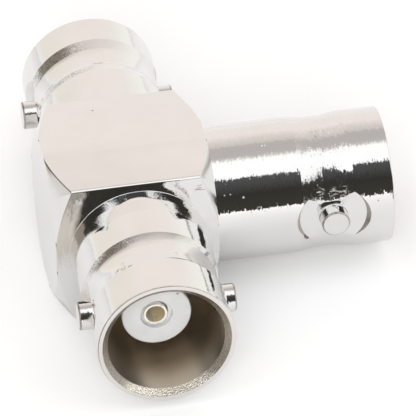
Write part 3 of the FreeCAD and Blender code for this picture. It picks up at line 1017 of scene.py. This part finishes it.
HAZE_CLOUDS = (0.35, 4, 0.6, (0.35, 0.75))
PITS = (6, 1, 0.4, (0.76, 0.8))
SPECKLE = (10, 2, 0.6, (0.4, 0.62))
EDGE_LINE_STROKES = (5, 3, 0.7, (0.4, 0.5))
MARK_STROKES = (1, 3, 0.7, (0.5, 0.6))
SOCKET_CLOUDS = (3, 3, 0.5, (0.3, 0.7))
PLASTIC_CLOUDS = (0.6, 3, 0.5, (0.3, 0.7))
RELIEFS = {"turned_relief": (9, 3), "ring_relief": (8, 2)}

# How far the strokes of a ragged normal and of a mark are squeezed along X, Y and Z, how strong those
# strokes are, and between which shares of its radius a mark fades in

STROKE_SCALE = (9, 3, 3)
STROKE_STRENGTH = 5
MARK_STROKE_SCALE = (2.5, 8, 8)
MARK_EDGE = (1, 0.4)

# How much is left of the nickel's red, green and blue on a warm edge, and of the darker plate on the turned
# edge, where it is painted shade, and the quarter turn that draws a reflection out along the axis

WARMTH = (0.985, 0.95, 0.92)
EDGE_SHADE = 0.6
ROUND_AXIS = 0.25
MICROMETRE = 1e-6

# Small marks that the photo shows, by material, the stem's large dark spot-face mark being painted shade:
# place in millimetres from the crossing, radius, colour, how much duller the plate is there, and how broken
# up the mark is

GRIME = (0.25, 0.22, 0.18)
DIRT_AND_SHADE = (0.12, 0.1, 0.08)
RUST = (0.25, 0.15, 0.1)
STAIN = (0.4, 0.3, 0.2)
PALE = (0.97, 0.97, 0.96)
HAZY = (0.7, 0.69, 0.67)
STROKES = tuple(((13.2 + 0.8 * step, -4.36, 2.02), 0.6, PALE, 0.5, 1.0) for step in range(3))
ARROW = tuple(((11.98 + 0.2 * step, -4.55, -1.4 - 0.22 * step), 0.2, DIRT_AND_SHADE, 0.1, 0.0) for step in range(3))
MARKS = {
    "flat": (((-1.55, 4.05, 5.53), 0.08, DIRT_AND_SHADE, 0.1, 0.0),),
    "side_flat": (((4.45, -5.53, 4.45), 0.5, DIRT_AND_SHADE, 0.0, 1.0),),
    "turned_x": (((6.39, -4.06, 2.62), 0.08, PALE, 0.6, 0.0), ((6.82, -4.05, 2.64), 0.08, PALE, 0.6, 0.0),
                 ((7.71, -4.21, 2.36), 0.12, PALE, 0.6, 0.0), ((9.6, -1.43, 4.61), 0.09, PALE, 0.5, 0.0),
                 ((9.8, -1.43, 4.61), 0.09, PALE, 0.5, 0.0), ((17.26, -4.72, 1.04), 0.07, DIRT_AND_SHADE, 0.1, 0.0),
                 *STROKES),
    "waist_x": (*ARROW, *STROKES),
    "shoulder_x": ARROW,
    # The first spot_x mark is painted shade, broken into strokes, on the upper part of the stem's front spot
    # face under its wall
    "spot_x": (((14.08, -4.45, 1.75), 1.3, DIRT_AND_SHADE, 0.0, 1.0), *ARROW),
    "spot_wall_x": (((16.38, -4.52, -1.55), 0.35, RUST, 0.1, 0.0), *ARROW),
    "waist_y": (((-2.72, -13.18, 3.93), 0.35, DIRT_AND_SHADE, 0.1, 1.0), ((-2.34, -13.35, 4.15), 0.35, DIRT_AND_SHADE, 0.1, 1.0),
                ((-1.86, -13.45, 4.4), 0.3, DIRT_AND_SHADE, 0.1, 1.0), ((3.7, -12.4, 2.9), 2.2, HAZY, 0.45, 0.0)),
    "insulator": (((1.33, -13.5, 1.67), 0.12, STAIN, 0.0, 0.0),),
}


class TEE_OT_finishes(bpy.types.Operator):
    """Make the shared node groups and the materials of all pieces"""
    bl_idname = "tee.finishes"
    bl_label = "Finishes"

    def execute(self, context):
        colours = context.scene.tee_finish
        nickel, haze, darkened_plate = tuple(colours.nickel), tuple(colours.haze), tuple(colours.darkened_plate)
        pale, brown, gold = tuple(colours.mouth), tuple(colours.bore), tuple(colours.contact)
        warm = [part * share for part, share in zip(nickel, WARMTH)]
        tan = halfway(pale, brown)
        sand = halfway(pale, tan)
        edge = [part * EDGE_SHADE for part in darkened_plate]
        make_lathe_place()
        for name, grain in RELIEFS.items():
            make_relief(name, *grain)
        make_ragged_normal()
        make_plate_tone()
        make_spot_mark()
        make_metal("flat", 0, nickel, haze, 0.03, 0.06, grain=0.25, pits=0.1)
        make_metal("side_flat", 0, nickel, haze, 0.03, 0.07, tilt=0.25, sway=0.03, grain=2, pits=0.2)
        make_metal("cone", 0, nickel, haze, 0.14, 0.2, lines=1.2, grain=0.5, rings=True)
        # Painted shade: the bar's broken left edge takes the darker plate, dimmed by EDGE_SHADE, as a thin
        # dark line
        make_metal("turned_edge", 0, edge, edge, 0.1, 0.2, grain=1, speckle=0.2)
        make_metal("lug_edge", 0, darkened_plate, darkened_plate, 0.2, 0.3, speckle=0.6)
        make_metal("lug_tip", 0, haze, haze, 0.1, 0.16, grain=2, speckle=0.06)
        make_metal("foot_y", QUARTER, nickel, haze, 0.03, 0.06, tilt=0.15, sway=0.01, grain=3, pits=0.2)
        make_metal("contact", 0, gold, gold, 0.2, 0.3, grain=1.5, metallic=0.5)
        for axis, turn, reach in (("x", 0, STEM_REACH), ("y", QUARTER, THROUGH_REACH)):
            on_front = axis == "y"
            # Painted shade: the stem's spot walls take the darker plate, so that its spot faces show dark
            # outlines
            wall = nickel if on_front else darkened_plate
            make_metal("turned_" + axis, turn, nickel, haze, 0.03, 0.05, tilt=0.25, sway=0.015, grain=0.3,
                       pits=0.1)
            make_metal("waist_" + axis, turn, nickel, haze, 0.05, 0.1, tilt=0.4 if on_front else 0.5,
                       sway=0.06 if on_front else 0.15, lines=2, grain=0.8,
                       edge_line=13.44 if on_front else None)
            make_metal("shoulder_" + axis, turn, nickel, haze, 0.06, 0.12, tilt=0.5, sway=0.15, grain=6,
                       left_speckle=0.8 if on_front else 0)
            make_metal("rim_" + axis, turn, warm, warm, 0.08, 0.15, grain=3, speckle=0.05)
            make_metal("edge_" + axis, turn, warm, warm, 0.06, 0.12, grain=4, pits=0.9, speckle=0.15)
            # Painted light in the lead-in and the bore: brighter at the bottom, darker on the sides
            make_metal("lead_in_" + axis, turn, sand, tan, 0.1, 0.2, lines=8, grain=36, speckle=0.4,
                       painted_hollow_shade=(0.55, 1.25, 3, 5))
            make_metal("bore_" + axis, turn, tan, tan, 0.3, 0.34, tilt=0.2, sway=0.05, grain=1, drawn_out=1,
                       brown_and_shade=(brown, reach), painted_hollow_shade=(0.62, 1.2, 1.2, 3.2))
            make_metal("spot_" + axis, turn, nickel, haze, 0.06, 0.12, grain=2)
            make_metal("spot_wall_" + axis, turn, wall, wall, 0.12, 0.2, grain=4)
            make_metal("lug_" + axis, turn, nickel, haze, 0.05, 0.1, tilt=0.6, sway=0.15, grain=5, pits=0.4)
        self.make_insulator(tuple(colours.plastic))
        self.make_socket(tuple(colours.socket))
        return {"FINISHED"}

    def clouded(self, here, pattern, colour, share):
        """A colour with soft clouds, in which only a share of it is left."""
        return mixed(patches(here, pattern), (*colour, 1), (*[part * share for part in colour], 1))

    def make_socket(self, gold):
        """The dull inside of a contact's socket."""
        tree, shader = new_material("socket", Metallic=0.25, Roughness=0.35)
        here = stretched(place(tree, "TexCoord").outputs["Object"], PER_MM)
        link(self.clouded(here, SOCKET_CLOUDS, gold, 0.85), shader["Base Color"])

    def make_insulator(self, white):
        """A smooth white plastic that lets a little light in."""
        tree, shader = new_material("insulator", Subsurface_Weight=0.5, Subsurface_Radius=(1, 1, 1),
                                    Subsurface_Scale=0.4 * MM)
        here = stretched(place(tree, "TexCoord").outputs["Object"], PER_MM)
        colour = self.clouded(here, PLASTIC_CLOUDS, white, 0.95)
        centred = use_group(tree, "lathe_place", {})["Here"]
        colour, roughness = add_marks("insulator", centred, colour, 0.4)
        bump = place(tree, "Bump", {"Height": noise(here, 12, 2), "Distance": 2 * MICROMETRE})
        link(colour, shader["Base Color"])
        link(roughness, shader["Roughness"])
        link(bump.outputs[0], shader["Normal"])


Face = namedtuple("Face", "along away forward outward normal")


def paint(piece, regions, axis=(1, 0, 0)):
    """Gives each face the first material whose test it passes. A test is told how far along and
    away from the axis the face lies, and how far its normal points along and away from it."""
    for name, test in regions:
        piece.data.materials.append(bpy.data.materials[name])
    axis = Vector(axis)
    for polygon in piece.data.polygons:
        here, normal = polygon.center - CROSSING, polygon.normal
        along = here.dot(axis)
        away = here - axis * along
        face = Face(along, away, normal.dot(axis), normal.dot(away.normalized()), normal)
        polygon.material_index = next(index for index, (name, test) in enumerate(regions) if test(face))


def always(face):
    return True


# How much of a face's normal points one way if the face leans, looks or lies square that way

LEANING = 0.3
LOOKING = 0.5
SQUARE = 0.9


def jack_regions(sizes, reach, waist, axis_name, side, rough_cone=False):
    """The tests for the parts of a jack that ends at reach, with its lugs to both sides."""
    near, shoulder, far = [reach - distance * MM for distance in waist]
    side = Vector(side)
    floor = SHELL_RADIUS - sizes.spot_depth
    lug = reach - LUG_SETBACK
    hollow_end = reach - sizes.bore_depth

    def spot(face):
        on_floor = abs(abs(face.away.dot(side)) - floor) < TOUCHING and abs(face.normal.dot(side)) > FACING
        return on_floor and abs(face.along - lug) < sizes.spot_rim

    def spot_wall(face):
        across = face.away - side * face.away.dot(side)
        faces_lug = (face.along - lug) * face.forward + face.normal.dot(across) < 0
        from_lug = math.hypot(face.along - lug, across.length)
        in_ring = sizes.spot_floor - BESIDE < from_lug < sizes.spot_rim + BESIDE
        return in_ring and faces_lug and 0 < face.outward < SQUARE

    def lead_in(face):
        leaning = face.outward < -LEANING and face.forward > LEANING
        return leaning and face.along > reach - sizes.lead_in - WELD

    def bore(face):
        wall = face.outward < -LOOKING and face.along > hollow_end - WELD and face.forward < LEANING
        bottom = face.along < hollow_end + WELD and face.forward > SQUARE and face.away.length < BORE_RADIUS
        return wall or bottom and face.along > far

    def rough_step(face):
        on_cone = rough_cone and near - sizes.waist_near_cone < face.along < near
        on_step = far < face.along < shoulder
        return (on_step or on_cone) and face.outward > LOOKING and face.away.length < SHELL_RADIUS

    tests = {
        "spot_": spot,
        "spot_wall_": spot_wall,
        "lead_in_": lead_in,
        "bore_": bore,
        "rim_": lambda face: face.along > reach - TOUCHING and face.forward > SQUARE,
        "edge_": lambda face: face.along > reach - sizes.mouth_round and face.outward > 0,
        "shoulder_": rough_step,
        "waist_": lambda face: shoulder <= face.along < near and face.outward > LOOKING,
    }
    return [(name + axis_name, test) for name, test in tests.items()]


# How much of its normal points along the bar on the edge at its left end that is darkened as painted shade,
# and on a turned end, and how far a lug's darker edge reaches from its tip, in lengths of its chamfer

LEFT_EDGE = (-0.8, -0.5)
END_LEAN = 0.2
LUG_EDGE = 1.2


def dress_body(piece, scene):
    def off_jack(face):
        return face.away.length > SHELL_RADIUS + BESIDE

    # The broken edge at the bar's left front end, which is painted darker as shade
    def edge_with_painted_shade(face):
        in_front = face.away.length > SHELL_RADIUS and face.away.y < 0
        return in_front and LEFT_EDGE[0] < face.forward < LEFT_EDGE[1] and face.normal.z > LEANING

    paint(piece, [
        *jack_regions(scene.tee_shell, STEM_REACH, WAISTS["stem"], "x", (0, 1, 0)),
        ("turned_edge", edge_with_painted_shade),
        ("cone", lambda face: off_jack(face) and abs(face.forward) > END_LEAN),
        ("side_flat", lambda face: off_jack(face) and abs(face.normal.y) > FACING),
        ("flat", off_jack),
        ("turned_x", always),
    ])


def dress_shell(piece, scene, side):
    sizes = scene.tee_shell
    paint(piece, [
        *jack_regions(sizes, THROUGH_REACH, WAISTS[side], "y", (1, 0, 0), side == "rear"),
        ("foot_y", lambda face: FLAT < face.along < FLAT + sizes.foot_finish and face.outward > LOOKING),
        ("turned_y", always),
    ], (0, -1 if side == "front" else 1, 0))


def dress_contact(piece, axis):
    """The socket's wall lies inside the slotted end, and faces its axis."""
    def in_socket(face):
        return face.away.length < SOCKET_RADIUS + TOUCHING and face.outward < -LOOKING

    paint(piece, [("socket", lambda face: in_socket(face) and abs(face.along) > COLLAR_RADIUS),
                  ("contact", always)], axis)


def dress_lug(piece, sizes, turn, axis_name):
    paint(piece, [
        ("lug_tip", lambda face: face.along > LUG_TIP - TOUCHING),
        ("lug_edge", lambda face: face.along > LUG_TIP - sizes.tip_chamfer * LUG_EDGE),
        ("lug_" + axis_name, always),
    ], (math.cos(turn), math.sin(turn), 0))


# Stage

CAMERA_PLACE = Vector((-47.614, -318.063, 228.636)) * MM
CAMERA_AZIMUTH = math.radians(-9.681)
CAMERA_ELEVATION = math.radians(35.554)
CAMERA_ROLL = math.radians(-1.353)
SENSOR_WIDTH = 36
NEAREST, FURTHEST = 0.01, 10
PHOTO_SIDE = 416
PHOTO_CENTRE = (218.846, 215.423)

# The floor's width, its colour, and the painted shade that only the metal shows of it in front of the left
# side, laid on twice. The pairs say where each effect starts and is full: to the right of the crossing, in
# front of it or away from it. How much the floor glows at those two places follows; the glow that the metal
# shows is painted light.

FLOOR_WIDTH = 4
FLOOR_WHITE = (0.86, 0.86, 0.86, 1)
FLOOR_SHADE = (0.64, 0.605, 0.55, 1)
FLOOR_DEEP_SHADE = (0.3, 0.27, 0.23, 1)
SHADED_SIDE = (-4 * MM, -6 * MM)
SHADE_START = (11 * MM, 15 * MM)
DEEP_SHADE_START = (20 * MM, 25 * MM)
GLOW_AWAY = (15 * MM, 50 * MM, 0.05, 0.12)
GLOW_LOST_LEFT = (-15 * MM, -45 * MM, 0, 0.08)
GLOW_TO_CAMERA = 0.14

# The ends of the dark cards' lower edges in millimetres, and their height

FLAGS = {
    "left_flag": ((-11, -27), (-45, -51)),
    "right_flag": ((25, -36), (34, -46)),
}
FLAG_HEIGHT = 10 * MM

# A ramp holds colours up to 1, so the studio's light is kept in it as a share of this

RAMP_TOP = 1.4

# What the nickel shows of the tent at angles from straight up towards the front, and of the dark room

TENT = {
    "left": (
        (-120, (225, 223, 220)), (-106, (208, 205, 200)), (-97, (188, 182, 175)), (-90, (156, 150, 141)),
        (-70, (138, 130, 120)), (-45, (136, 128, 118)), (-35, (146, 138, 129)), (-22, (160, 154, 148)),
        (-12, (215, 210, 206)), (-5, (255, 255, 255)),
    ),
    "middle": (
        (-120, (240, 239, 237)), (-95, (238, 233, 228)), (-70, (233, 226, 220)), (-52, (236, 226, 220)),
        (-40, (217, 209, 203)), (-28, (203, 196, 190)), (-26.5, (187, 181, 178)), (-18, (182, 176, 174)),
        (-5, (184, 178, 176)), (-1, (206, 200, 195)), (4, (255, 255, 255)),
    ),
    "right": (
        (-120, (241, 241, 240)), (-90, (241, 239, 233)), (-65, (237, 233, 228)), (-45, (222, 216, 210)),
        (-30, (160, 155, 150)), (-22, (190, 186, 182)), (-14, (255, 255, 255)),
    ),
}
ROOM = ((30, (84, 84, 85)), (46, (71, 71, 72)), (62, (50, 49, 45)), (90, (58, 56, 50)))

# How the tent's parts follow one another. Sideways runs from -1 on the left to 1 on the right, and
# back from -1 in front to 1 behind. Turns are in degrees from straight up towards the front.

LEFT_SIDE = (-0.12, -0.6)
LEFT_SIDE_END = (-0.86, -0.8, 0.12, 1)
NOT_BEHIND = (0.76, 0.68)
RIGHT_SIDE = (0.3, 0.7)
BEHIND_LEFT = (-0.15, -0.55)
BEHIND = (0.68, 0.76)
LOW_BEHIND = (-80, -90)
SHEEN = ((228, 222, 212), (233, 231, 227))
FAR_LEFT = (-0.8, -0.86)
FAR_LEFT_TURN = (-25, -45)
FAR_LEFT_COLOUR = (213, 209, 203)

# The turn at which the dark opening starts, as it changes in two steps to the left and to the right,
# how soft its edge is, and where it ends below and at the sides

OPENING_STARTS = (((0.11, -0.18, 34, 44), (-0.25, -0.5, 0, 10)), ((0.22, 0.36, 34, 53), (0.6, 0.72, 0, 8)))
OPENING_EDGE = (-1.5, 1.5)
OPENING_END = (96, 92)
OPENING_SIDES = (0.92, 0.84)


def direction(azimuth, elevation):
    """Towards a place that lies so far round to the right of the front and so high."""
    return Vector((math.sin(azimuth) * math.cos(elevation),
                   -math.cos(azimuth) * math.cos(elevation), math.sin(elevation)))


class TEE_OT_stage(bpy.types.Operator):
    """Make the pale floor, the soft studio light and the camera"""
    bl_idname = "tee.stage"
    bl_label = "Floor, light and camera"

    def execute(self, context):
        self.make_camera(context.scene)
        self.make_fill_light(context.scene.tee_studio)
        self.make_floor()
        self.make_flags()
        self.make_world(context.scene)
        context.scene.view_settings.view_transform = "Standard"
        return {"FINISHED"}

    def make_camera(self, scene):
        back = direction(CAMERA_AZIMUTH, CAMERA_ELEVATION)
        right = Vector((math.cos(CAMERA_AZIMUTH), math.sin(CAMERA_AZIMUTH), 0))
        up = back.cross(right)
        rolled = Matrix.Rotation(CAMERA_ROLL, 3, back)
        bpy.ops.object.camera_add(location=CROSSING + CAMERA_PLACE)
        camera = bpy.context.object
        axes = Matrix((rolled @ right, rolled @ up, back)).transposed()
        camera.rotation_euler = axes.to_euler()
        camera.data.lens = scene.tee_studio.lens
        camera.data.sensor_width = SENSOR_WIDTH
        camera.data.shift_x = (PHOTO_SIDE / 2 - PHOTO_CENTRE[0]) / PHOTO_SIDE
        camera.data.shift_y = (PHOTO_CENTRE[1] - PHOTO_SIDE / 2) / PHOTO_SIDE
        camera.data.clip_start = NEAREST
        camera.data.clip_end = FURTHEST
        scene.camera = camera

    def make_fill_light(self, settings):
        """A broad, soft light at the front, which only matt surfaces show."""
        deselect_all()
        towards = direction(settings.fill_azimuth, settings.fill_elevation)
        bpy.ops.object.light_add(type="AREA", location=CROSSING + towards * settings.fill_distance)
        light = bpy.context.object
        light.name = "fill_light"
        light.rotation_euler = towards.to_track_quat("Z", "Y").to_euler()
        light.data.shape = "DISK"
        light.data.size = settings.fill_size
        light.data.energy = settings.fill_power
        light.visible_glossy = False

    def make_floor(self):
        """A white floor, which glows a little to the camera and less in the metal."""
        deselect_all()
        bpy.ops.mesh.primitive_plane_add(size=FLOOR_WIDTH, location=(0, 0, 0))
        floor = bpy.context.object
        floor.name = "floor"
        tree, shader = new_material("floor", Roughness=0.8, Specular_IOR_Level=0,
                                    Emission_Color=(1, 1, 1, 1))
        rays = place(tree, "LightPath").outputs
        here = place(tree, "TexCoord").outputs["Object"]
        away = vectors("LENGTH", here, output="Value")
        parts = parted(here)
        across, forward = parts[0], times(parts[1], -1.0)
        in_metal = minus(ranged(away, *GLOW_AWAY), ranged(across, *GLOW_LOST_LEFT))
        # Painted shade: for glossy rays only, the floor's colour darkens in front of the bar's left side, in
        # two steps
        beside = times(ranged(across, *SHADED_SIDE), rays["Is Glossy Ray"])
        colour = FLOOR_WHITE
        for start, shade in ((SHADE_START, FLOOR_SHADE), (DEEP_SHADE_START, FLOOR_DEEP_SHADE)):
            colour = mixed(times(ranged(forward, *start), beside), colour, shade)
        link(colour, shader["Base Color"])
        glow = plus(times(rays["Is Camera Ray"], GLOW_TO_CAMERA),
                    times(rays["Is Glossy Ray"], in_metal))
        link(glow, shader["Emission Strength"])
        floor.data.materials.append(bpy.data.materials["floor"])

    def make_flags(self):
        """The dark cards that stand on the floor out of the picture, which only the metal shows."""
        new_material("flag", Base_Color=(0.05, 0.048, 0.045, 1), Roughness=0.9, Specular_IOR_Level=0)
        for name, ends in FLAGS.items():
            deselect_all()
            start, finish = [Vector(end) * MM for end in ends]
            middle, run = (start + finish) / 2, finish - start
            bpy.ops.mesh.primitive_plane_add(size=1, location=(middle.x, middle.y, FLAG_HEIGHT / 2),
                                             rotation=(QUARTER, 0, math.atan2(run.y, run.x)))
            flag = bpy.context.object
            flag.scale = (run.length, FLAG_HEIGHT, 1)
            flag.name = name
            flag.data.materials.append(bpy.data.materials["flag"])
            flag.visible_camera = False
            flag.visible_diffuse = False
            flag.visible_shadow = False

    def make_world(self, scene):
        """A pale tent: white light over the front, a grey strip overhead, beige behind, and the dark
        opening that the camera looks through."""
        world = bpy.data.worlds.new("studio")
        scene.world = world
        world.use_nodes = True
        tree = world.node_tree
        sideways, back, up = parted(place(tree, "TexCoord").outputs["Generated"])
        angle = maths("ARCTAN2", times(back, -1.0), up)
        turned_share = plus(maths("DIVIDE", angle, math.tau), 0.5)
        degrees = maths("DEGREES", angle)
        nickel = scene.tee_finish.nickel

        def shown(rgb):
            """The light that the nickel shows as this colour."""
            return [part / plate / RAMP_TOP for part, plate in zip(seen(*rgb), nickel)]

        def ramp(stops):
            return ramped(turned_share, [(turn / 360 + 0.5, shown(rgb)) for turn, rgb in stops])

        left = times(ranged(sideways, *LEFT_SIDE), ranged(back, *NOT_BEHIND))
        left = times(left, ranged(sideways, *LEFT_SIDE_END))
        tent = mixed(left, ramp(TENT["middle"]), ramp(TENT["left"]))
        behind = times(ranged(sideways, *BEHIND_LEFT), ranged(back, *BEHIND))
        low = ranged(degrees, *LOW_BEHIND)
        tent = mixed(behind, tent, mixed(low, *[(*shown(rgb), 1) for rgb in SHEEN]))
        far_left = times(ranged(sideways, *FAR_LEFT), ranged(degrees, *FAR_LEFT_TURN))
        tent = mixed(far_left, tent, (*shown(FAR_LEFT_COLOUR), 1))
        tent = mixed(ranged(sideways, *RIGHT_SIDE), tent, ramp(TENT["right"]))
        starts = [plus(*[ranged(sideways, *change) for change in changes])
                  for changes in OPENING_STARTS]
        past_start = minus(degrees, maths("MAXIMUM", *starts))
        before_floor = ranged(degrees, *OPENING_END)
        between_sides = ranged(distance(sideways), *OPENING_SIDES)
        within = times(before_floor, between_sides)
        opening = times(ranged(past_start, *OPENING_EDGE), within)
        camera_ray = place(tree, "LightPath").outputs["Is Camera Ray"]
        background = tree.nodes["Background"].inputs
        colour = mixed(camera_ray, mixed(opening, tent, ramp(ROOM)), (1, 1, 1, 1))
        link(colour, background["Color"])
        link(ranged(camera_ray, 0, 1, RAMP_TOP, 1), background["Strength"])


class TEE_PT_panel(bpy.types.Panel):
    """Lists the steps that make the adapter, and its sizes"""
    bl_idname = "TEE_PT_panel"
    bl_label = "Coaxial tee"
    bl_space_type = "VIEW_3D"
    bl_region_type = "UI"
    bl_category = "Coaxial tee"

    def draw(self, context):
        for operator in OPERATORS:
            self.layout.operator(operator.bl_idname)
        for attribute, group in PROPERTY_GROUPS.items():
            box = self.layout.box()
            box.label(text=group.__name__)
            for name in group.__annotations__:
                box.prop(getattr(context.scene, attribute), name)


PROPERTY_GROUPS = {
    "tee_bar": BarSizes,
    "tee_shell": ShellSizes,
    "tee_lug": LugSizes,
    "tee_insulator": InsulatorSizes,
    "tee_contact": ContactSizes,
    "tee_finish": FinishColours,
    "tee_studio": StudioSettings,
}
OPERATORS = (TEE_OT_finishes, TEE_OT_stage, TEE_OT_body, TEE_OT_jack_shells, TEE_OT_lugs,
             TEE_OT_insulators, TEE_OT_contacts)


def register():
    for item in (*PROPERTY_GROUPS.values(), *OPERATORS, TEE_PT_panel):
        bpy.utils.register_class(item)
    for attribute, group in PROPERTY_GROUPS.items():
        setattr(bpy.types.Scene, attribute, bpy.props.PointerProperty(type=group))


def unregister():
    for attribute in PROPERTY_GROUPS:
        delattr(bpy.types.Scene, attribute)
    for item in reversed((*PROPERTY_GROUPS.values(), *OPERATORS, TEE_PT_panel)):
        bpy.utils.unregister_class(item)


def main():
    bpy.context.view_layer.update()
    register()
    bpy.ops.tee.finishes()
    bpy.ops.tee.stage()
    bpy.ops.tee.body()
    bpy.ops.tee.jack_shells()
    bpy.ops.tee.lugs()
    bpy.ops.tee.insulators()
    bpy.ops.tee.contacts()


if __name__ == "__main__":
    main()
